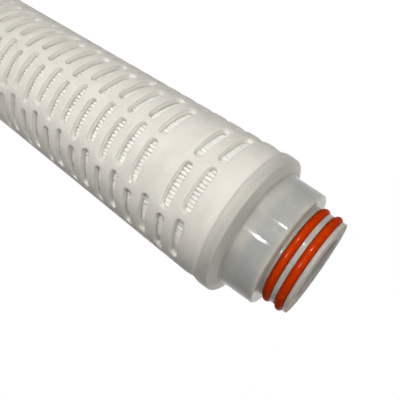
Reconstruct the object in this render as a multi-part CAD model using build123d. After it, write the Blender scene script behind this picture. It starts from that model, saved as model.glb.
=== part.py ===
"""Pleated filter cartridge with a slotted outer cage and a double O-ring outlet spigot.

Frame: millimetres, the cartridge's axis on +Z. It stands on its closed end cap at z = 0,
and the outlet spigot is on top. Azimuths are degrees about Z from +X; -90 faces -Y.
"""

import math
import os

from build123d import *

# Outer cage
CAGE_RADIUS = 34.5
CAGE_WALL = 2.4
ROW_PITCH = 9.75
ROWS = 22
BAND = 13.4                 # from each end of the cage to the middle of its nearest row
WAIST_RADIUS = 33.95        # the cage necks in beside each weld
WAIST_FROM_WELD = 3.8
WAIST_LENGTH = 8.2
WELD_RADIUS = 34.65

# Slots: two mould halves with four staggered slots a row each
SLOT_HEIGHT = 4.3
SLOT_SPAN = 35.6            # degrees, ends included
SLOT_PITCH = 42             # degrees
SLOTS_PER_HALF = 4
HALF_MIDDLES = (-107, 73)
STAGGER = 3                 # degrees to either side of a half's middle
PANEL_ROW = 2               # counted from the outlet end, starting at 0
PANEL_SLOTS = (1, 2)        # slots left out of the first half there, for the plain panel

# End caps
CLOSED_CAP_HEIGHT = 8.25
CLOSED_CAP_FLOOR = 5.25
OPEN_CAP_HEIGHT = 7.2
OPEN_CAP_FLOOR = 2.0
CAP_RIM_RADIUS = 34.7
CAP_DRAFT = 0.3             # the rim narrows by this much towards the shoulder
CAP_SHOULDER_DROP = 2.15    # from the shoulder joint down to the rim's corner
CAP_CORNER = 0.9
BASE_CORNER = 1.0

# Outlet adapter
ADAPTER_LENGTH = 29.0       # from the shoulder joint to the tip
ADAPTER_SEAT = 2.2          # depth of the recess in the open cap
ADAPTER_BASE_RADIUS = 29.2
COLLAR_LENGTH = 15.9        # from the shoulder joint up to the collar's face
COLLAR_TIP_RADIUS = 27.55
COLLAR_ROOT_RADIUS = 28.2
COLLAR_CORNER = 1.1
FOOT_RISE = 0.7             # the base slopes up from the joint to the collar's foot
FOOT_FILLET = 0.7
SPIGOT_RADIUS = 22.2
SPIGOT_EDGE = 0.4
BORE_RADIUS = 15.0
JOINT_BEVEL = 0.15

# O-rings
RING_SECTION = 3.53
RING_FROM_TIP = (3.7, 9.7)
GROOVE_RADIUS = 19.8
GROOVE_WIDTH = 3.9
RING_EASE = 0.02

# Inner core
CORE_BORE = 15.4
CORE_RADIUS = 17.2
CORE_HOLE = 6.0
CORE_HOLES_PER_ROW = 6

# Pleat pack: three layers folded together
PLEATS = 105
PACK_TIP = 31.75            # radius over the outer folds
PACK_VALLEY = 17.5          # radius inside the inner folds
SUPPORT_THICKNESS = 0.17
MEMBRANE_THICKNESS = 0.12
LAYER_GAP = 0.01
OUTER_FOLD = 0.6            # radius of the pack's middle line round an outer fold
INNER_FOLD = 0.27

# Heights up the axis
CAGE_BOTTOM = CLOSED_CAP_HEIGHT
CAGE_TOP = CAGE_BOTTOM + 2 * BAND + (ROWS - 1) * ROW_PITCH
SHOULDER = CAGE_TOP + OPEN_CAP_HEIGHT
TIP = SHOULDER + ADAPTER_LENGTH
PACK_BOTTOM = CLOSED_CAP_FLOOR
SEAT_FLOOR = SHOULDER - ADAPTER_SEAT
PACK_TOP = SEAT_FLOOR - OPEN_CAP_FLOOR
COLLAR_FACE = SHOULDER + COLLAR_LENGTH
CAGE_INSIDE = CAGE_RADIUS - CAGE_WALL


def turn(outline):
    """Turn an outline of (radius, height) edges once round the axis."""
    return revolve(Plane.XZ * make_face(outline), Axis.Z)


def turned(points, rounds=()):
    """Turn a polygon of (radius, height) points; rounds lists (point index, radius)."""
    face = make_face(Polyline(*points, close=True))
    for index, radius in rounds:
        corner = face.vertices().sort_by_distance(Vector(*points[index], 0))[0]
        face = fillet(corner, radius)
    return revolve(Plane.XZ * face, Axis.Z)


def radial_peg(radius, azimuth, height, inner, outer):
    """A round peg along a radius, from the inner to the outer distance from the axis."""
    peg = Rot(0, 90, 0) * Cylinder(radius, outer - inner)
    return Pos(0, 0, height) * Rot(0, 0, azimuth) * Pos((inner + outer) / 2, 0, 0) * peg


def slot_cutter(azimuth, height):
    """The space of one slot: a round-ended window with radial walls."""
    inner = CAGE_INSIDE - 1
    outer = CAGE_RADIUS + 1
    end_angle = math.degrees(SLOT_HEIGHT / 2 / CAGE_RADIUS)
    straight = SLOT_SPAN - 2 * end_angle
    section = Pos((inner + outer) / 2, 0) * Rectangle(outer - inner, SLOT_HEIGHT)
    bar = revolve(Plane.XZ * section, Axis.Z, straight)
    bar = Pos(0, 0, height) * Rot(0, 0, azimuth - straight / 2) * bar
    ends = [
        radial_peg(SLOT_HEIGHT / 2, azimuth + side * straight / 2, height, inner, outer)
        for side in (-1, 1)
    ]
    return bar + ends


def slot_places():
    """Azimuth and height of each slot's middle, row by row from the outlet end."""
    places = []
    for row in range(ROWS):
        height = CAGE_TOP - BAND - row * ROW_PITCH
        shift = -STAGGER if row % 2 == 0 else STAGGER
        for half, middle in enumerate(HALF_MIDDLES):
            for slot in range(SLOTS_PER_HALF):
                if row == PANEL_ROW and half == 0 and slot in PANEL_SLOTS:
                    continue
                step = slot - (SLOTS_PER_HALF - 1) / 2
                places.append((middle + shift + step * SLOT_PITCH, height))
    return places


def outer_cage():
    """Slotted tube, necked in beside the weld at each end."""
    def waist(weld, way):
        return Spline(
            (WELD_RADIUS, weld),
            (WAIST_RADIUS, weld + way * WAIST_FROM_WELD),
            (CAGE_RADIUS, weld + way * WAIST_LENGTH),
            tangents=[(0, way), (0, way)],
        )

    low = waist(CAGE_BOTTOM, 1)
    high = waist(CAGE_TOP, -1)
    wall = Line((CAGE_RADIUS, CAGE_BOTTOM + WAIST_LENGTH), (CAGE_RADIUS, CAGE_TOP - WAIST_LENGTH))
    back = Polyline(
        (WELD_RADIUS, CAGE_TOP),
        (CAGE_INSIDE, CAGE_TOP),
        (CAGE_INSIDE, CAGE_BOTTOM),
        (WELD_RADIUS, CAGE_BOTTOM),
    )
    tube = turn([low, wall, high, back])
    return tube - [slot_cutter(azimuth, height) for azimuth, height in slot_places()]


def closed_end_cap():
    """Shallow cup that the cartridge stands on."""
    points = [
        (0, 0),
        (CAP_RIM_RADIUS, 0),
        (CAP_RIM_RADIUS, CLOSED_CAP_HEIGHT),
        (CAGE_INSIDE, CLOSED_CAP_HEIGHT),
        (CAGE_INSIDE, CLOSED_CAP_FLOOR),
        (0, CLOSED_CAP_FLOOR),
    ]
    return turned(points, [(1, BASE_CORNER)])


def open_end_cap():
    """Ring cap with a recess on top for the adapter's base and a rim down to the cage."""
    points = [
        (BORE_RADIUS, PACK_TOP),
        (CAGE_INSIDE, PACK_TOP),
        (CAGE_INSIDE, CAGE_TOP),
        (CAP_RIM_RADIUS, CAGE_TOP),
        (CAP_RIM_RADIUS - CAP_DRAFT, SHOULDER - CAP_SHOULDER_DROP),
        (ADAPTER_BASE_RADIUS + JOINT_BEVEL, SHOULDER),
        (ADAPTER_BASE_RADIUS, SHOULDER - JOINT_BEVEL),
        (ADAPTER_BASE_RADIUS, SEAT_FLOOR),
        (BORE_RADIUS, SEAT_FLOOR),
    ]
    return turned(points, [(4, CAP_CORNER)])


def outlet_adapter():
    """Base flange, collar and grooved spigot round the outlet bore, moulded as one."""
    ring_low = TIP - RING_FROM_TIP[1]
    ring_high = TIP - RING_FROM_TIP[0]
    half = GROOVE_WIDTH / 2
    points = [
        (BORE_RADIUS, SEAT_FLOOR),
        (ADAPTER_BASE_RADIUS, SEAT_FLOOR),
        (ADAPTER_BASE_RADIUS, SHOULDER - JOINT_BEVEL),
        (ADAPTER_BASE_RADIUS - JOINT_BEVEL, SHOULDER),
        (COLLAR_ROOT_RADIUS, SHOULDER + FOOT_RISE),
        (COLLAR_TIP_RADIUS, COLLAR_FACE),
        (SPIGOT_RADIUS, COLLAR_FACE),
        (SPIGOT_RADIUS, ring_low - half),
        (GROOVE_RADIUS, ring_low - half),
        (GROOVE_RADIUS, ring_low + half),
        (SPIGOT_RADIUS, ring_low + half),
        (SPIGOT_RADIUS, ring_high - half),
        (GROOVE_RADIUS, ring_high - half),
        (GROOVE_RADIUS, ring_high + half),
        (SPIGOT_RADIUS, ring_high + half),
        (SPIGOT_RADIUS, TIP),
        (BORE_RADIUS, TIP),
    ]
    rounds = [(4, FOOT_FILLET), (5, COLLAR_CORNER), (15, SPIGOT_EDGE), (16, SPIGOT_EDGE)]
    return turned(points, rounds)


def o_ring(from_tip):
    """Standard ring of 3.53 mm section, resting on the groove floor."""
    middle = GROOVE_RADIUS + RING_EASE + RING_SECTION / 2
    return Pos(0, 0, TIP - from_tip) * Torus(middle, RING_SECTION / 2)


def inner_core():
    """Perforated tube that carries the pleats against the flow."""
    height = PACK_TOP - PACK_BOTTOM
    wall = Cylinder(CORE_RADIUS, height) - Cylinder(CORE_BORE, height)
    tube = Pos(0, 0, PACK_BOTTOM + height / 2) * wall
    step = 360 / CORE_HOLES_PER_ROW
    pegs = []
    for row in range(ROWS):
        level = CAGE_TOP - BAND - row * ROW_PITCH
        for hole in range(CORE_HOLES_PER_ROW):
            azimuth = (hole + row % 2 / 2) * step
            pegs.append(radial_peg(CORE_HOLE / 2, azimuth, level, CORE_BORE - 1, CORE_RADIUS + 1))
    return tube - pegs


def fold_line(offset):
    """Closed line round all pleats, at an offset outwards from the pack's middle line.

    Each pleat is an outer fold, a straight leg, an inner fold half a pitch further round
    and a straight leg back. The legs are the crossed tangents of the two fold circles.
    """
    half_pack = SUPPORT_THICKNESS + LAYER_GAP + MEMBRANE_THICKNESS / 2
    pitch = 2 * math.pi / PLEATS
    outer_middle = Vector(PACK_TIP - half_pack - OUTER_FOLD, 0)
    inner_distance = PACK_VALLEY + half_pack + INNER_FOLD
    inner_middle = Vector(inner_distance, 0).rotate(Axis.Z, math.degrees(pitch / 2))
    across = inner_middle - outer_middle
    lean = math.asin((OUTER_FOLD + INNER_FOLD) / across.length)
    along = across.normalized()
    normal = along.rotate(Axis.Z, math.degrees(lean) - 90)
    leg_top = outer_middle + normal * (OUTER_FOLD + offset)
    leg_foot = inner_middle - normal * (INNER_FOLD - offset)
    tip = outer_middle + Vector(OUTER_FOLD + offset, 0)
    valley = inner_middle - inner_middle.normalized() * (INNER_FOLD - offset)
    mirrored_top = Vector(leg_top.X, -leg_top.Y)
    foot_after = (Vector(leg_foot.X, -leg_foot.Y)).rotate(Axis.Z, math.degrees(pitch))
    edges = []
    for pleat in range(PLEATS):
        turn_by = pleat * 360 / PLEATS
        spots = [
            spot.rotate(Axis.Z, turn_by)
            for spot in (mirrored_top, tip, leg_top, leg_foot, valley, foot_after)
        ]
        next_top = mirrored_top.rotate(Axis.Z, (pleat + 1) % PLEATS * 360 / PLEATS)
        edges.append(Edge.make_three_point_arc(spots[0], spots[1], spots[2]))
        edges.append(Edge.make_line(spots[2], spots[3]))
        edges.append(Edge.make_three_point_arc(spots[3], spots[4], spots[5]))
        edges.append(Edge.make_line(spots[5], next_top))
    return Wire(edges)


def pleated_layer(inside, outside):
    """One layer of the pack, between two offsets from the pack's middle line."""
    face = Face(fold_line(outside), [fold_line(inside)])
    return Pos(0, 0, PACK_BOTTOM) * extrude(face, PACK_TOP - PACK_BOTTOM, dir=(0, 0, 1))


def main():
    half_membrane = MEMBRANE_THICKNESS / 2
    support_from = half_membrane + LAYER_GAP
    support_to = support_from + SUPPORT_THICKNESS
    nodes = {
        "outer_cage": outer_cage(),
        "closed_end_cap": closed_end_cap(),
        "open_end_cap": open_end_cap(),
        "outlet_adapter": outlet_adapter(),
        "o_ring_tip": o_ring(RING_FROM_TIP[0]),
        "o_ring_collar": o_ring(RING_FROM_TIP[1]),
        "inner_core": inner_core(),
        "upstream_support": pleated_layer(support_from, support_to),
        "filter_membrane": pleated_layer(-half_membrane, half_membrane),
        "downstream_support": pleated_layer(-support_to, -support_from),
    }
    os.makedirs("parts", exist_ok=True)
    for name, shape in nodes.items():
        export_step(shape, f"parts/{name}.step")


main()
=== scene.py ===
"""Pleated filter cartridge: the look of its plastics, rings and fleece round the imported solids.

The object's lengths are millimetres, which mesh_piece and Finish turn into metres. Lights,
camera, floor and light scatter are in metres, but for the floor's height. The axis is +Z, the
closed end stands on z = 0 and the outlet spigot is on top. Azimuths are degrees about Z from
+X, so -90 faces the camera.
"""
import math

import bmesh
import bpy
import numpy as np
from mathutils import Matrix, Vector


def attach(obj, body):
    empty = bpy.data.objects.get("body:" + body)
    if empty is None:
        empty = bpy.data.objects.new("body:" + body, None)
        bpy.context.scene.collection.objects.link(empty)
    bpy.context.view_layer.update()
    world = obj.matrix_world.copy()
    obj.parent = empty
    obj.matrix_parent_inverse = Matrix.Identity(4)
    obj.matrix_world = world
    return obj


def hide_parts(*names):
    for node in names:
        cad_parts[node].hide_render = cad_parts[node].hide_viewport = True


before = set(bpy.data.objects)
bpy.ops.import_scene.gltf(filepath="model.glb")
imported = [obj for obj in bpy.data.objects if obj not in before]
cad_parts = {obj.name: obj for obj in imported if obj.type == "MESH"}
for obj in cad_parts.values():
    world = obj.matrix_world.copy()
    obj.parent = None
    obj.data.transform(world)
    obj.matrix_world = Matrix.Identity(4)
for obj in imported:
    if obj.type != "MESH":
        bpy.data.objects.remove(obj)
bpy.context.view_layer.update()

MM = 0.001
BODY = "root"
MERGE_DISTANCE = 1e-6       # metres
CREASE_ANGLE = 50           # degrees between two faces, past which their edge stays sharp
LATHE_COLUMNS = 180
FINE_COLUMNS = 240

# Outer cage
CAGE_RADIUS = 34.5
CAGE_WALL = 2.4
CAGE_INSIDE = CAGE_RADIUS - CAGE_WALL
SLOT_INSIDE = 31.8          # the slots' walls reach down to the folds, as pressed together
CAGE_BOTTOM = 8.25
CAGE_TOP = 239.8
ROW_PITCH = 9.75
ROWS = 22
BAND = 13.4                 # from each end of the cage to the middle of its nearest row
WAIST_RADIUS = 33.95
WAIST_FROM_WELD = 3.8
WAIST_LENGTH = 8.2
WELD_RADIUS = 34.65
WELD_EDGE_IN = 0.08         # bevel of the cage's end at a weld, in radius and along the axis
WELD_EDGE_ALONG = 0.05
FALL_STEPS = 6              # points from a weld down to the waist, and from there to the cage
RISE_STEPS = 7

# Slots: two mould halves with four staggered slots a row each
SLOT_HEIGHT = 4.3
SLOT_SPAN = 35.6
SLOT_PITCH = 42
SLOTS_PER_HALF = 4
HALF_MIDDLES = (-107, 73)
STAGGER = 3
PANEL_ROW = 2
PANEL_SLOTS = (1, 2)
SLOT_EDGE = 0.7             # rounding of a slot's outer edge
EDGE_BORDER = 0.35          # flat strip outside the rounding, so that it shades true
ROLL_STEPS = 3              # points over that rounding
SLOT_FOOT = 0.6             # step at the foot of a slot's wall, under the cage
CELL_STEP = 3               # degrees between grid lines round the cage
CELL_LEVELS = 6             # grid steps up one row

# Caps and adapter
TIP = 276.0
SHOULDER = 247.0
COLLAR_FACE = 262.9
SEAT_FLOOR = 244.8
PACK_TOP = 242.8
CLOSED_CAP_FLOOR = 5.25
CAP_RIM_RADIUS = 34.7
CAP_NECK_RADIUS = 34.4
CAP_CORNER_HEIGHT = 244.85
ADAPTER_BASE_RADIUS = 29.2
COLLAR_ROOT_RADIUS = 28.2
COLLAR_TIP_RADIUS = 27.55
FOOT_RISE = 0.7
SPIGOT_RADIUS = 22.2
GROOVE_RADIUS = 19.8
GROOVE_WIDTH = 3.9
BORE_RADIUS = 15.0
SEAM_WIDTH = 0.08           # fine groove between cap and adapter
SEAM_DEPTH = 0.12
RIM_HEIGHT = 1.6            # straight rim of the open cap above the weld
RIM_DRAFT = 0.02

# Roundings of the turned outlines
WELD_BEAD = 0.14
RIM_ROUNDING = 0.8
SHOULDER_ROUNDING = 0.9
SEAM_ROUNDING = 0.1
BASE_ROUNDING = 1.0
FOOT_ROUNDING = 0.7
COLLAR_ROUNDING = 1.1
NOOK_ROUNDING = 0.3
GROOVE_LIP = 0.2
GROOVE_CORNER = 0.3
TIP_ROUNDING = 0.4

# Rings
RING_SECTION = 3.53
RING_MIDDLE = 21.585
RING_HEIGHTS = {"o_ring_tip": 272.3, "o_ring_collar": 266.3}
RING_STEPS = 40             # points round a ring's section
WANDER_OUT = 0.04
WANDER_UP = 0.06

# Setting, in metres but for the floor's height
FLOOR_HEIGHT = -0.3         # just under the closed cap, so that the two faces don't coincide
FLOOR_HALF_SIDE = 6.0
FLOOR_LIT = 0.06            # the floor's grey for the rays that light the object
FLOOR_SEEN = 0.3            # the share of its seen white that takes shadows
FLOOR_GLOW = 0.88
LIGHT_COLOUR = (1.0, 0.985, 0.96)
SUN_DISTANCE = 2            # its place doesn't change its light
LONG_SPARK_AT = (0.1610, -0.8055, 0.1380)
SHORT_SPARK_AT = (-0.3743, -0.7312, 0.1671)
RINGS_AIM = (0, -0.0215, 0.269)
CAMERA_PLACE = (0, -0.171822, 0.288927)
CAMERA_RIGHT = (-0.56767927, 0.3383832, 0.75049121)
CAMERA_UP = (-0.8229124, -0.20714207, -0.52906271)
CAMERA_BACK = (-0.02356763, -0.91792645, 0.39604999)

# Finishes
PLEATS = 105
NOISE_LOW, NOISE_HIGH = 0.3, 0.7                # nearly all of a noise lies between these
MIX_SHARE, MIX_FIRST, MIX_SECOND = 0, 6, 7      # places of a colour Mix node's sockets
MIX_RESULT = 2


# Meshes

def mesh_piece(name, points, faces, finish, slot, replaced):
    """Make a mesh piece from millimetre points, merge doubles and shade it smooth."""
    mesh = bpy.data.meshes.new(name)
    mesh.from_pydata((np.asarray(points).reshape(-1, 3) * MM).tolist(), [], faces.tolist())
    work = bmesh.new()
    work.from_mesh(mesh)
    bmesh.ops.remove_doubles(work, verts=work.verts, dist=MERGE_DISTANCE)
    bmesh.ops.recalc_face_normals(work, faces=work.faces)
    work.to_mesh(mesh)
    work.free()
    mesh.shade_smooth()
    mesh.set_sharp_from_angle(angle=math.radians(CREASE_ANGLE))
    mesh.materials.append(finish)
    piece = bpy.data.objects.new(name, mesh)
    bpy.context.scene.collection.objects.link(piece)
    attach(piece, BODY)
    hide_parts(*replaced)
    return piece


def grid_faces(rows, columns, closed=False):
    """Quads between neighbours of a grid; closed joins the last column to the first."""
    index = np.arange(rows * columns).reshape(rows, columns)
    if closed:
        index = np.concatenate([index, index[:, :1]], 1)
    corners = (index[:-1, :-1], index[:-1, 1:], index[1:, 1:], index[1:, :-1])
    return np.stack([c.ravel() for c in corners], 1)


def joined(parts):
    """Join (points, faces) parts into one pair, shifting each part's indices."""
    points = [np.asarray(p).reshape(-1, 3) for p, _ in parts]
    starts = np.cumsum([0] + [len(p) for p in points[:-1]])
    faces = [f + start for (_, f), start in zip(parts, starts)]
    return np.concatenate(points), np.concatenate(faces)


def on_cylinder(radius, azimuth, height):
    """x = radius cos(azimuth), y = radius sin(azimuth), z = height; azimuth in degrees."""
    turn = np.radians(azimuth)
    radius, turn, height = np.broadcast_arrays(radius, turn, height)
    return np.stack([radius * np.cos(turn), radius * np.sin(turn), height], -1)


def rounded(corners, closed=True, steps=6, border=0.25):
    """Outline of (radius, height) corners, each turned into an arc.

    The arc touches both sides at rounding * tan(half the turn) from the corner, and its
    points are the corner's circle at equal angles. One more point lies a border's width
    outside each end of the arc, so that flat faces stay flat to the eye.
    """
    spots = np.array([c[:2] for c in corners], float)
    line = []
    for i, (_, _, rounding) in enumerate(corners):
        here = spots[i]
        if not closed and i in (0, len(corners) - 1) or rounding == 0:
            line.append(here[None])
            continue
        back = spots[i - 1] - here
        ahead = spots[(i + 1) % len(spots)] - here
        back_length, ahead_length = np.linalg.norm(back), np.linalg.norm(ahead)
        back, ahead = back / back_length, ahead / ahead_length
        opening = math.acos(np.clip(back @ ahead, -1, 1))
        reach = rounding / math.tan(opening / 2)
        middle = (back + ahead) / np.linalg.norm(back + ahead)
        centre = here + middle * rounding / math.sin(opening / 2)
        first, last = here + back * reach, here + ahead * reach
        start, end = first - centre, last - centre
        sweep = math.acos(np.clip(start @ end / rounding ** 2, -1, 1))
        share = np.linspace(0, 1, steps + 1)[:, None]
        turned = np.sin((1 - share) * sweep) * start + np.sin(share * sweep) * end
        arc = centre + turned / math.sin(sweep)
        before = here + back * min(reach + border, (reach + back_length) / 2)
        after = here + ahead * min(reach + border, (reach + ahead_length) / 2)
        line.append(np.concatenate([before[None], arc, after[None]]))
    return np.concatenate(line)


def lathe(outline, columns=LATHE_COLUMNS, closed=True, phase=0.0):
    """Turn an outline of (radius, height) once round the axis, one grid row per point."""
    if closed:
        outline = np.concatenate([outline, outline[:1]])
    azimuth = phase + np.arange(columns) * 360 / columns
    points = on_cylinder(outline[:, :1], azimuth[None], outline[:, 1:])
    return points, grid_faces(len(outline), columns, closed=True)


# Outer cage and its slots

def row_places():
    """Stagger in degrees and height of each row of slots, from the top: every other row leans back."""
    row = np.arange(ROWS)
    return np.where(row % 2 == 0, -STAGGER, STAGGER), CAGE_TOP - BAND - row * ROW_PITCH


def slot_places():
    """Azimuth and height of the middle of each slot, and of each plain cell of the panel."""
    shift, level = row_places()
    step = np.arange(SLOTS_PER_HALF) - (SLOTS_PER_HALF - 1) / 2
    azimuth = np.array(HALF_MIDDLES)[None, :, None] + shift[:, None, None] + step * SLOT_PITCH
    height = level[:, None, None] + 0 * azimuth
    plain = np.zeros(azimuth.shape, bool)
    plain[PANEL_ROW, 0, list(PANEL_SLOTS)] = True
    return azimuth[~plain], height[~plain], azimuth[plain], height[plain]


def rib_places():
    """Azimuth and height of the wider ribs on the mould's parting lines, one cell per row."""
    shift, level = row_places()
    azimuth = np.array(HALF_MIDDLES) + 90 + shift[:, None]
    height = level[:, None] + 0 * azimuth
    return azimuth.ravel(), height.ravel()


def slot_cells(azimuth, height):
    """The cage round each slot: rings that shrink from the cell's rectangle to the slot.

    Every point of the rectangle slides straight towards the nearest point of the slot's
    middle line. On the way it stays on the outer surface, rolls over a quarter circle into
    the slot, follows the slot's wall inwards and comes back along the inner surface.
    """
    half_width = math.radians(SLOT_PITCH / 2) * CAGE_RADIUS
    half_straight = math.radians(SLOT_SPAN / 2) * CAGE_RADIUS - SLOT_HEIGHT / 2
    across = np.linspace(-half_width, half_width, SLOT_PITCH // CELL_STEP + 1)
    up = np.linspace(-ROW_PITCH / 2, ROW_PITCH / 2, CELL_LEVELS + 1)
    rim = np.concatenate([
        np.stack([across[:-1], np.full(len(across) - 1, up[0])], 1),
        np.stack([np.full(len(up) - 1, across[-1]), up[:-1]], 1),
        np.stack([across[:0:-1], np.full(len(across) - 1, up[-1])], 1),
        np.stack([np.full(len(up) - 1, across[0]), up[:0:-1]], 1),
    ])
    middle = np.stack([np.clip(rim[:, 0], -half_straight, half_straight), 0 * rim[:, 1]], 1)
    reach = np.linalg.norm(rim - middle, axis=1)
    outward = (rim - middle) / reach[:, None]
    half = SLOT_HEIGHT / 2
    roll = np.radians(np.linspace(0, 90, ROLL_STEPS + 1))
    distance = [reach, half + SLOT_EDGE + EDGE_BORDER + 0 * reach]
    radius = [CAGE_RADIUS, CAGE_RADIUS]
    distance += [half + SLOT_EDGE * (1 - math.sin(a)) + 0 * reach for a in roll]
    radius += [CAGE_RADIUS - SLOT_EDGE * (1 - math.cos(a)) for a in roll]
    distance += [half + 0 * reach, half + SLOT_FOOT + 0 * reach, reach]
    radius += [SLOT_INSIDE, SLOT_INSIDE, CAGE_INSIDE]
    place = middle[None] + outward[None] * np.array(distance)[..., None]
    turn = np.degrees(place[..., 0] / CAGE_RADIUS)
    points = on_cylinder(
        np.array(radius)[None, :, None],
        azimuth[:, None, None] + turn[None],
        height[:, None, None] + place[None, ..., 1],
    )
    one = grid_faces(len(radius), len(rim), closed=True)
    starts = np.arange(len(azimuth)) * len(radius) * len(rim)
    return points, (one[None] + starts[:, None, None]).reshape(-1, 4)


def plain_patches(azimuth, height, span):
    """Unbroken cells, one grid row high: the same curved rectangle outside and inside."""
    turn = np.arange(-span / 2, span / 2 + CELL_STEP / 2, CELL_STEP)
    up = np.linspace(-ROW_PITCH / 2, ROW_PITCH / 2, CELL_LEVELS + 1)
    radius = np.array([CAGE_RADIUS, CAGE_INSIDE])
    points = on_cylinder(
        radius[None, :, None, None],
        azimuth[:, None, None, None] + turn[None, None, None],
        height[:, None, None, None] + up[None, None, :, None],
    )
    one = grid_faces(len(up), len(turn))
    starts = np.arange(2 * len(azimuth)) * len(up) * len(turn)
    return points, (one[None] + starts[:, None, None]).reshape(-1, 4)


def waist(weld, way):
    """Outside of the cage beside a weld: a cosine dip from the weld to the full radius.

    The first part falls from the weld's radius to the waist, the second rises to the cage's.
    """
    fall = np.linspace(0, 1, FALL_STEPS + 1)
    rise = np.linspace(0, 1, RISE_STEPS + 1)[1:]
    ease_fall = (1 - np.cos(math.pi * fall)) / 2
    ease_rise = (1 - np.cos(math.pi * rise)) / 2
    radius = np.concatenate([
        WELD_RADIUS + (WAIST_RADIUS - WELD_RADIUS) * ease_fall,
        WAIST_RADIUS + (CAGE_RADIUS - WAIST_RADIUS) * ease_rise,
    ])
    along = np.concatenate([
        WAIST_FROM_WELD * fall,
        WAIST_FROM_WELD + (WAIST_LENGTH - WAIST_FROM_WELD) * rise,
    ])
    return np.stack([radius, weld + way * along], 1)


def outer_cage(finish):
    """Slotted tube: the slot cells, the plain cells and a necked-in band at each end."""
    slot_azimuth, slot_height, plain_azimuth, plain_height = slot_places()
    rib_span = 180 - SLOTS_PER_HALF * SLOT_PITCH
    bands = []
    for weld, way in ((CAGE_TOP, -1), (CAGE_BOTTOM, 1)):
        border = weld + way * (BAND - ROW_PITCH / 2)
        line = np.concatenate([
            [[CAGE_INSIDE, border], [CAGE_INSIDE, weld], [WELD_RADIUS - WELD_EDGE_IN, weld]],
            waist(weld + way * WELD_EDGE_ALONG, way),
            [[CAGE_RADIUS, border]],
        ])
        bands.append(lathe(line, 360 // CELL_STEP, closed=False, phase=HALF_MIDDLES[0]))
    return mesh_piece(
        "cage_shell",
        *joined([
            slot_cells(slot_azimuth, slot_height),
            plain_patches(plain_azimuth, plain_height, SLOT_PITCH),
            plain_patches(*rib_places(), rib_span),
            *bands,
        ]),
        finish, "cage_plastic", ["outer_cage"],
    )


# Caps, adapter and rings

def open_cap(finish):
    """Ring cap: a turned outline with a rounded shoulder and a fine bead at each joint."""
    corners = [
        (BORE_RADIUS, PACK_TOP, 0),
        (CAGE_INSIDE, PACK_TOP, 0),
        (CAGE_INSIDE, CAGE_TOP, 0),
        (CAP_RIM_RADIUS, CAGE_TOP, WELD_BEAD),
        (CAP_RIM_RADIUS - RIM_DRAFT, CAGE_TOP + RIM_HEIGHT, RIM_ROUNDING),
        (CAP_NECK_RADIUS, CAP_CORNER_HEIGHT, SHOULDER_ROUNDING),
        (ADAPTER_BASE_RADIUS + SEAM_WIDTH, SHOULDER, SEAM_ROUNDING),
        (ADAPTER_BASE_RADIUS, SHOULDER - SEAM_DEPTH, 0),
        (ADAPTER_BASE_RADIUS, SEAT_FLOOR, 0),
        (BORE_RADIUS, SEAT_FLOOR, 0),
    ]
    return mesh_piece("shoulder_cap", *lathe(rounded(corners)), finish, "cap_plastic", ["open_end_cap"])


def closed_cap(finish):
    """Shallow cup that the cartridge stands on, with rounded rim corners."""
    corners = [
        (0, 0, 0),
        (CAP_RIM_RADIUS, 0, BASE_ROUNDING),
        (CAP_RIM_RADIUS, CAGE_BOTTOM, WELD_BEAD),
        (CAGE_INSIDE, CAGE_BOTTOM, 0),
        (CAGE_INSIDE, CLOSED_CAP_FLOOR, 0),
        (0, CLOSED_CAP_FLOOR, 0),
    ]
    turned = lathe(rounded(corners, closed=False), closed=False)
    return mesh_piece("closed_cap", *turned, finish, "cap_plastic", ["closed_end_cap"])


def groove(height):
    """The outline's four corners round a ring groove whose middle is at the height."""
    low, high = height - GROOVE_WIDTH / 2, height + GROOVE_WIDTH / 2
    return [
        (SPIGOT_RADIUS, low, GROOVE_LIP),
        (GROOVE_RADIUS, low, GROOVE_CORNER),
        (GROOVE_RADIUS, high, GROOVE_CORNER),
        (SPIGOT_RADIUS, high, GROOVE_LIP),
    ]


def adapter(finish):
    """Base flange, collar and grooved spigot as one turned outline."""
    corners = [
        (BORE_RADIUS, SEAT_FLOOR, 0),
        (ADAPTER_BASE_RADIUS, SEAT_FLOOR, 0),
        (ADAPTER_BASE_RADIUS, SHOULDER - SEAM_DEPTH, 0),
        (ADAPTER_BASE_RADIUS - SEAM_WIDTH, SHOULDER, SEAM_ROUNDING),
        (COLLAR_ROOT_RADIUS, SHOULDER + FOOT_RISE, FOOT_ROUNDING),
        (COLLAR_TIP_RADIUS, COLLAR_FACE, COLLAR_ROUNDING),
        (SPIGOT_RADIUS, COLLAR_FACE, NOOK_ROUNDING),
        *groove(RING_HEIGHTS["o_ring_collar"]),
        *groove(RING_HEIGHTS["o_ring_tip"]),
        (SPIGOT_RADIUS, TIP, TIP_ROUNDING),
        (BORE_RADIUS, TIP, TIP_ROUNDING),
    ]
    turned = lathe(rounded(corners), FINE_COLUMNS)
    return mesh_piece("adapter_body", *turned, finish, "adapter_plastic", ["outlet_adapter"])


def ring(node, finish):
    """O-ring: a circle of section carried round the axis.

    The section's middle wanders by a few hundredths of a millimetre in radius and height,
    as sines of two and three times the azimuth, the way a rubber ring sits in its groove.
    """
    azimuth = np.arange(FINE_COLUMNS) * 360 / FINE_COLUMNS
    turn = np.radians(azimuth)[None]
    section = np.radians(np.arange(RING_STEPS) * 360 / RING_STEPS)[:, None]
    middle = RING_HEIGHTS[node]
    radius = RING_MIDDLE + WANDER_OUT * np.sin(2 * turn + middle) + RING_SECTION / 2 * np.cos(section)
    height = middle + WANDER_UP * np.sin(3 * turn + middle) + RING_SECTION / 2 * np.sin(section)
    points = on_cylinder(radius, azimuth[None], height)
    points = np.concatenate([points, points[:1]])
    faces = grid_faces(len(points), FINE_COLUMNS, closed=True)
    return mesh_piece(node + "_rubber", points, faces, finish, "silicone", [node])


# Materials

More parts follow.
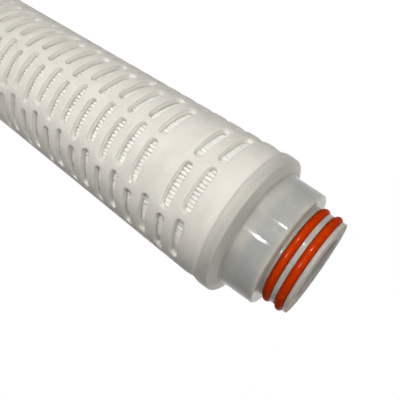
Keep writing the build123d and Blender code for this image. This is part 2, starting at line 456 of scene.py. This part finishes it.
class Finish:
    """A procedural material on Object coordinates, with short calls for the nodes it needs.

    The sockets that stay even are named when it is made, with underscores for their spaces.
    """

    def __init__(self, name, **sockets):
        self.material = bpy.data.materials.new(name)
        self.material.use_nodes = True
        self.tree = self.material.node_tree
        self.shader = self.tree.nodes["Principled BSDF"]
        self.place = self.node("ShaderNodeTexCoord").outputs["Object"]
        for socket, value in sockets.items():
            self.shader.inputs[socket.replace("_", " ")].default_value = value

    def put(self, socket, value):
        """Link a node's output to a socket, or set the socket to a plain value."""
        if isinstance(value, bpy.types.NodeSocket):
            self.tree.links.new(value, socket)
        else:
            socket.default_value = value

    def node(self, kind, inputs=None, **settings):
        """Add a node with its settings, and put a value or an output into each named input."""
        made = self.tree.nodes.new(kind)
        for key, value in settings.items():
            setattr(made, key, value)
        for key, value in (inputs or {}).items():
            self.put(made.inputs[key], value)
        return made

    def link(self, socket, value):
        """Feed one of the shader's own sockets."""
        self.tree.links.new(value, self.shader.inputs[socket])

    def math(self, operation, *values):
        """The operation's result on one or two values."""
        return self.node("ShaderNodeMath", dict(enumerate(values)), operation=operation).outputs[0]

    def times(self, first, second):
        """The product of two values."""
        return self.math("MULTIPLY", first, second)

    def mix(self, share, first, second):
        """Share 0 gives the first colour, 1 the second."""
        made = self.node("ShaderNodeMix", data_type="RGBA")
        self.put(made.inputs[MIX_SHARE], share)
        self.put(made.inputs[MIX_FIRST], first)
        self.put(made.inputs[MIX_SECOND], second)
        return made.outputs[MIX_RESULT]

    def noise(self, size, detail=3.0, rough=0.5, stretch=(1, 1, 1)):
        """Noise from 0 to 1 whose blobs are about the size across, stretched along an axis."""
        scaled = self.node("ShaderNodeMapping", {"Vector": self.place, "Scale": stretch}).outputs[0]
        return self.node(
            "ShaderNodeTexNoise",
            {"Vector": scaled, "Scale": 1 / (size * MM), "Detail": detail, "Roughness": rough},
        ).outputs["Fac"]

    def ranged(self, value, low, high, least=0.0, most=1.0, smooth=False):
        """The value's run from low to high, spread from least to most and held at both ends."""
        return self.node(
            "ShaderNodeMapRange",
            {"Value": value, "From Min": low, "From Max": high, "To Min": least, "To Max": most},
            interpolation_type="SMOOTHSTEP" if smooth else "LINEAR",
        ).outputs["Result"]

    def uneven(self, pattern, least, most):
        """A value that follows a noise from least to most."""
        return self.ranged(pattern, NOISE_LOW, NOISE_HIGH, least, most)

    def ramp(self, length, start, end, smooth=True):
        """0 before the start and 1 past the end of a length, which may run down as well."""
        return self.ranged(length, start * MM, end * MM, smooth=smooth)

    def band(self, length, low, high, soft):
        """1 between low and high, falling to 0 over the soft distance on either side."""
        rise = self.ramp(length, low - soft, low + soft)
        fall = self.ramp(length, high + soft, high - soft)
        return self.times(rise, fall)

    def axes(self):
        """The place as separate x, y, z outputs, in metres."""
        return self.node("ShaderNodeSeparateXYZ", {"Vector": self.place}).outputs

    def height(self):
        """Height above the closed end in metres."""
        return self.axes()[2]

    def azimuth(self):
        """Angle about the axis in radians, from atan2(y, x)."""
        x, y, _ = self.axes()
        return self.math("ARCTAN2", y, x)

    def radius(self):
        """Distance from the axis in metres, the root of x squared and y squared."""
        x, y, _ = self.axes()
        return self.math("SQRT", self.math("ADD", self.times(x, x), self.times(y, y)))

    def bump(self, relief, depth, strength):
        """Shade as if the surface rose by up to the depth where the relief is high."""
        made = self.node("ShaderNodeBump", {"Height": relief, "Distance": depth * MM, "Strength": strength})
        self.link("Normal", made.outputs["Normal"])


def rgb(red, green, blue):
    """A colour written as 0 to 255 display values, made linear by the sRGB curve."""
    def linear(v):
        v /= 255
        return v / 12.92 if v <= 0.04045 else ((v + 0.055) / 1.055) ** 2.4
    return (linear(red), linear(green), linear(blue), 1.0)


def cage_finish():
    """Milky polypropylene: faint streaks where the pleats behind shine through, soft mottling.

    It is paler beside the open cap and down the slots' walls, which is painted light, and a
    little darker on the slots' rounded edges, which is painted shade. A streak is the sine of
    azimuth times the number of pleats, bent by a long noise.
    """
    made = Finish(
        "milky_polypropylene", IOR=1.49, Subsurface_Weight=0.9, Subsurface_Radius=(1.0, 0.99, 0.96),
        Subsurface_Scale=0.003, Specular_IOR_Level=0.05,
    )
    height, radius = made.height(), made.radius()
    mottling = made.ranged(made.noise(size=9), low=0.35, high=0.68)
    base = made.mix(mottling, rgb(220, 217, 210), rgb(227, 225, 219))
    # Painted light: the cage is paler in the band beside the open cap
    beside_cap_painted_light = made.ramp(height, start=233.5, end=238.5)
    base = made.mix(made.times(beside_cap_painted_light, 0.8), base, rgb(240, 235, 225))
    # Painted shade: the slots' rounded outer edges are a little darker, against the light they catch
    slot_edge_painted_shade = made.ramp(radius, start=34.49, end=34.3, smooth=False)
    below_waist = made.ramp(height, start=232.5, end=231.5, smooth=False)
    base = made.mix(made.times(slot_edge_painted_shade, below_waist), base, rgb(206, 204, 198))
    # Painted light: the slots' walls are paler, in place of the shade that falls in the slots
    slot_wall_painted_light = made.ramp(radius, start=34.1, end=33.4)
    base = made.mix(slot_wall_painted_light, base, rgb(234, 232, 225))
    waver = made.times(made.noise(size=14, detail=2, stretch=(1, 1, 0.2)), 2.5)
    phase = made.math("ADD", made.times(made.azimuth(), PLEATS), waver)
    streak = made.ranged(made.math("SINE", phase), low=0.2, high=1.0)
    patches = made.ranged(made.noise(size=11, detail=2), low=0.45, high=0.7)
    share = made.times(made.times(streak, patches), 0.35)
    made.link("Base Color", made.mix(share, base, rgb(238, 233, 224)))
    made.link("Roughness", made.uneven(made.noise(size=3, detail=4), least=0.38, most=0.5))
    made.bump(made.noise(size=0.9, detail=4, rough=0.6), depth=0.03, strength=0.6)
    return made.material


def cap_finish():
    """Caps' natural polypropylene: greyer, clouded, and paler from the open cap's rim down as painted
    light.
    """
    made = Finish(
        "natural_polypropylene", IOR=1.49, Subsurface_Weight=0.45, Subsurface_Radius=(1.0, 0.96, 0.9),
        Subsurface_Scale=0.004, Specular_IOR_Level=0.2,
    )
    cloud = made.ranged(made.noise(size=12), low=0.35, high=0.7)
    base = made.mix(cloud, rgb(180, 178, 171), rgb(190, 188, 181))
    # Painted light: the cap is paler from its rim down
    pale = made.times(made.ramp(made.height(), start=243.7, end=240.0), 0.7)
    made.link("Base Color", made.mix(pale, base, rgb(208, 206, 200)))
    made.link("Roughness", made.uneven(made.noise(size=4, detail=4), least=0.3, most=0.42))
    made.bump(made.noise(size=1.4, detail=4, rough=0.6), depth=0.03, strength=0.5)
    return made.material


def adapter_finish():
    """Glossy translucent moulding: bluish where the wall is hollow behind, with pale ribs.

    The collar's face and the nook beside it carry painted light, a yellower grey in place of
    their shade and the rings' red bounce. The end face is rough, and its brown-grey is a
    painted reflection of dark surroundings.
    The ribs are the crests of the sine of azimuth times their number.
    """
    made = Finish(
        "clear_polypropylene", IOR=1.49, Subsurface_Weight=0.8, Subsurface_Radius=(1.0, 0.98, 0.95),
        Subsurface_Scale=0.006, Specular_IOR_Level=0.15,
    )
    height = made.height()
    cloud = made.ranged(made.noise(size=10), low=0.35, high=0.7)
    body = made.mix(cloud, rgb(175, 174, 169), rgb(191, 190, 183))
    hollow = made.band(height, low=252.5, high=261.2, soft=1.6)
    patches = made.uneven(made.noise(size=9, detail=2), least=0.3, most=1.0)
    body = made.mix(made.times(hollow, patches), body, rgb(169, 171, 170))
    # Painted light: the collar's face and the nook beside it get a yellower grey in place of their shade
    # and the rings' red bounce
    inside_collar = made.ramp(made.radius(), start=27.2, end=26.4, smooth=False)
    beside_face = made.band(height, low=262.7, high=264.5, soft=0.2)
    nook = made.times(beside_face, inside_collar)
    body = made.mix(nook, body, rgb(184, 184, 172))
    rib_count = 14
    wave = made.math("SINE", made.times(made.azimuth(), rib_count))
    crest = made.ranged(wave, low=0.93, high=1.0, smooth=True)
    rib_length = made.band(height, low=254.5, high=261.2, soft=0.6)
    rib = made.times(made.times(crest, rib_length), 0.6)
    broken = made.ranged(made.noise(size=17, detail=2), low=0.45, high=0.62)
    body = made.mix(made.times(rib, broken), body, rgb(196, 197, 194))
    # Painted reflection: the end face's brown-grey stands for dark surroundings mirrored at a grazing
    # angle; it is also rougher
    end_face = made.band(height, low=275.75, high=280, soft=0.1)
    reflection_mottling = made.ranged(made.noise(size=1.3), low=0.35, high=0.65)
    painted_reflection = made.mix(reflection_mottling, rgb(158, 150, 141), rgb(174, 166, 157))
    made.link("Base Color", made.mix(end_face, body, painted_reflection))
    gloss = made.uneven(made.noise(size=5, detail=4), least=0.05, most=0.09)
    made.link("Roughness", made.math("MAXIMUM", gloss, made.times(end_face, 0.8)))
    made.bump(made.noise(size=6), depth=0.06, strength=0.3)
    return made.material


def rubber_finish():
    """Orange-red silicone, a little darker in patches, with dust-fine unevenness."""
    made = Finish(
        "red_silicone", IOR=1.41, Subsurface_Weight=0.1, Subsurface_Radius=(1.0, 0.25, 0.08),
        Subsurface_Scale=0.0012, Specular_IOR_Level=0.003,
    )
    patches = made.uneven(made.noise(size=2.5, detail=4), least=0.0, most=1.0)
    made.link("Base Color", made.mix(patches, rgb(184, 44, 2), rgb(199, 58, 4)))
    made.link("Roughness", made.uneven(made.noise(size=1.2, detail=4), least=0.1, most=0.2))
    made.bump(made.noise(size=0.8, detail=4, rough=0.6), depth=0.05, strength=0.6)
    return made.material


def fleece_finish(name, pale, shade):
    """Spun fleece: fine fibres as stretched noise in colour and bump, with a soft sheen."""
    made = Finish(
        name, Specular_IOR_Level=0.2, Sheen_Weight=0.4, Sheen_Roughness=0.5, Roughness=0.85,
        Subsurface_Weight=0.5, Subsurface_Radius=(1.0, 0.97, 0.92), Subsurface_Scale=0.0006,
    )
    fibres = made.noise(size=0.5, detail=5, rough=0.65, stretch=(1, 1, 0.35))
    made.link("Base Color", made.mix(made.ranged(fibres, low=0.35, high=0.65), shade, pale))
    made.bump(fibres, depth=0.08, strength=0.7)
    return made.material


def core_finish():
    """Satin polypropylene of the inner core, with moulding flow marks along the axis."""
    made = Finish(
        "core_polypropylene", IOR=1.49, Subsurface_Weight=0.2, Subsurface_Scale=0.002,
        Specular_IOR_Level=0.4,
    )
    flow = made.noise(size=5, stretch=(1, 1, 0.25))
    patches = made.uneven(flow, least=0.0, most=1.0)
    made.link("Base Color", made.mix(patches, rgb(206, 202, 193), rgb(220, 216, 208)))
    made.link("Roughness", made.uneven(flow, least=0.4, most=0.55))
    made.bump(made.noise(size=1.0), depth=0.03, strength=0.5)
    return made.material


# Studio and camera

def sees_background(tree):
    """1 for camera, mirror and see-through rays, 0 for the rays that light the object."""
    path = tree.nodes.new("ShaderNodeLightPath")
    share = path.outputs["Is Camera Ray"]
    for ray in ("Is Glossy Ray", "Is Transmission Ray"):
        top = tree.nodes.new("ShaderNodeMath")
        top.operation = "MAXIMUM"
        tree.links.new(share, top.inputs[0])
        tree.links.new(path.outputs[ray], top.inputs[1])
        share = top.outputs[0]
    return share


def grey(level):
    """A neutral colour of this linear level."""
    return (level, level, level, 1)


def set_world(level):
    """Even pale light from all round; the background itself shows white."""
    world = bpy.data.worlds.new("studio")
    bpy.context.scene.world = world
    world.use_nodes = True
    tree = world.node_tree
    shown = tree.nodes["Background"]
    shown.inputs["Color"].default_value = grey(1)
    shown.inputs["Strength"].default_value = 1.0
    light = tree.nodes.new("ShaderNodeBackground")
    light.inputs["Color"].default_value = (*LIGHT_COLOUR, 1)
    light.inputs["Strength"].default_value = level
    pick = tree.nodes.new("ShaderNodeMixShader")
    tree.links.new(sees_background(tree), pick.inputs[0])
    tree.links.new(light.outputs[0], pick.inputs[1])
    tree.links.new(shown.outputs[0], pick.inputs[2])
    tree.links.new(pick.outputs[0], tree.nodes["World Output"].inputs["Surface"])


def floor():
    """Large pale floor.

    Part of its white is a glow seen by the camera and the rest is lit, so that the object's
    shadow still shows on it.
    """
    mesh = bpy.data.meshes.new("floor")
    corners = np.array([[-1, -1], [1, -1], [1, 1], [-1, 1]]) * FLOOR_HALF_SIDE
    points = [(x, y, FLOOR_HEIGHT * MM) for x, y in corners.tolist()]
    mesh.from_pydata(points, [], [[0, 1, 2, 3]])
    plane = bpy.data.objects.new("floor", mesh)
    bpy.context.scene.collection.objects.link(plane)
    made = Finish("floor", Roughness=0.9, Specular_IOR_Level=0.0)
    seen = sees_background(made.tree)
    made.link("Base Color", made.mix(seen, grey(FLOOR_LIT), grey(FLOOR_SEEN)))
    glow = made.node("ShaderNodeEmission", {"Strength": seen, "Color": grey(FLOOR_GLOW)})
    both = made.node("ShaderNodeAddShader", {0: made.shader.outputs[0], 1: glow.outputs[0]})
    made.tree.links.new(both.outputs[0], made.tree.nodes["Material Output"].inputs["Surface"])
    mesh.materials.append(made.material)


def direction(azimuth, elevation):
    """Unit vector (cos e cos a, cos e sin a, sin e) of an azimuth a and elevation e in degrees."""
    turn, rise = math.radians(azimuth), math.radians(elevation)
    flat = math.cos(rise)
    return Vector((flat * math.cos(turn), flat * math.sin(turn), math.sin(rise)))


def place_light(data, at, aim, mirrored):
    """Hang a light at a point, turned towards the aim, and return it."""
    data.color = LIGHT_COLOUR
    made = bpy.data.objects.new(data.name, data)
    made.rotation_mode = "QUATERNION"
    made.rotation_quaternion = (Vector(aim) - Vector(at)).to_track_quat("-Z", "Y")
    made.location = at
    made.visible_glossy = mirrored
    bpy.context.scene.collection.objects.link(made)
    return made


def soft_light(name, azimuth, elevation, spread, level):
    """Even light from one side: on a white surface that faces it, it gives the level.

    It stands for a wide, far studio lamp that spans the spread in degrees, and isn't
    mirrored, so glossy parts show the white studio and the small sparks instead.
    """
    data = bpy.data.lights.new(name, "SUN")
    data.energy = math.pi * level
    data.angle = math.radians(spread)
    place_light(data, direction(azimuth, elevation) * SUN_DISTANCE, (0, 0, 0), False)


def softbox(name, azimuth, elevation, aim_height, distance, size, level):
    """Diffuse lamp beside the object: a white surface that faces it shows the level.

    It aims at the cage's side at the aim height, from the distance in metres. The share of its light
    that reaches a facing surface is that of a parallel rectangle: 2/pi (X atan(Y / wide) /
    wide + Y atan(X / long) / long), where X and Y are its half sides over the distance,
    wide = sqrt(1 + X^2) and long = sqrt(1 + Y^2). It isn't mirrored.
    """
    x, y = size[0] / 2 / distance, size[1] / 2 / distance
    wide, long = math.sqrt(1 + x * x), math.sqrt(1 + y * y)
    share = 2 / math.pi * (x / wide * math.atan(y / wide) + y / long * math.atan(x / long))
    data = bpy.data.lights.new(name, "AREA")
    data.shape = "RECTANGLE"
    data.size, data.size_y = size
    data.energy = math.pi * size[0] * size[1] * level / share
    aim = direction(azimuth, 0) * CAGE_RADIUS * MM + Vector((0, 0, aim_height))
    place_light(data, aim + direction(azimuth, elevation) * distance, aim, False)


def spark(name, at, aim, size, brightness, pieces=()):
    """Elliptical lamp of a size in metres, seen only as a mirror image on glossy parts.

    Brightness 1 is that of the white background. Where pieces are given, it reaches only them.
    """
    data = bpy.data.lights.new(name, "AREA")
    data.shape = "ELLIPSE"
    data.size, data.size_y = size
    area = math.pi * size[0] * size[1] / 4
    data.energy = brightness * math.pi * area
    lamp = place_light(data, at, aim, True)
    lamp.visible_diffuse = False
    if pieces:
        reached = bpy.data.collections.new(name)
        for piece in pieces:
            reached.objects.link(piece)
        lamp.light_linking.receiver_collection = reached


def camera():
    """The photograph's viewpoint, fitted to the outline, the rings and the rows of slots."""
    data = bpy.data.cameras.new("camera")
    data.sensor_width = 36.0
    data.lens = 35.331
    data.clip_start = 0.01
    made = bpy.data.objects.new("camera", data)
    bpy.context.scene.collection.objects.link(made)
    turn = Matrix((CAMERA_RIGHT, CAMERA_UP, CAMERA_BACK)).transposed().to_4x4()
    made.matrix_world = Matrix.Translation(CAMERA_PLACE) @ turn
    bpy.context.scene.camera = made


camera()
set_world(level=0.02)
floor()
softbox("key", azimuth=-98, elevation=18, aim_height=-0.06, distance=0.3, size=(0.12, 0.6), level=0.74)
softbox("far_end", azimuth=-98, elevation=0, aim_height=0.06, distance=0.25, size=(0.1, 0.2), level=0.16)
soft_light("fill", azimuth=-98, elevation=32, spread=20, level=0.14)
softbox(
    "tip_side", azimuth=-115, elevation=35, aim_height=0.262, distance=0.12, size=(0.045, 0.045),
    level=0.3,
)
soft_light("top", azimuth=-90, elevation=75, spread=60, level=0.1)
soft_light("back_left", azimuth=120, elevation=14, spread=40, level=0.5)
soft_light("back_right", azimuth=60, elevation=14, spread=40, level=0.5)
spark("spark_long", LONG_SPARK_AT, aim=(0.0026, -0.0277, 0.2557), size=(0.07, 0.03), brightness=200)
spark("spark_short", SHORT_SPARK_AT, aim=(-0.006, -0.027, 0.2597), size=(0.05, 0.014), brightness=200)

outer_cage(cage_finish())
cap_plastic = cap_finish()
open_cap(cap_plastic)
closed_cap(cap_plastic)
adapter(adapter_finish())
rubber = rubber_finish()
rings = [ring(ring_node, rubber) for ring_node in RING_HEIGHTS]

# The rings mirror very little of the white studio, so their glints take stronger sparks
spark("ring_spark_long", LONG_SPARK_AT, RINGS_AIM, size=(0.07, 0.03), brightness=45000, pieces=rings)
spark("ring_spark_short", SHORT_SPARK_AT, RINGS_AIM, size=(0.05, 0.03), brightness=60000, pieces=rings)

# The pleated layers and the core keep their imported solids, with these finishes
kept_finishes = {
    "inner_core": core_finish(),
    "upstream_support": fleece_finish("outer_fleece", pale=rgb(253, 252, 246), shade=rgb(248, 246, 239)),
    "filter_membrane": fleece_finish("membrane", pale=rgb(244, 244, 243), shade=rgb(236, 236, 236)),
    "downstream_support": fleece_finish("inner_fleece", pale=rgb(243, 242, 238), shade=rgb(230, 229, 225)),
}
for node, finish in kept_finishes.items():
    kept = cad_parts[node]
    kept.data.materials.clear()
    kept.data.materials.append(finish)

bpy.context.scene.view_settings.view_transform = "Standard"
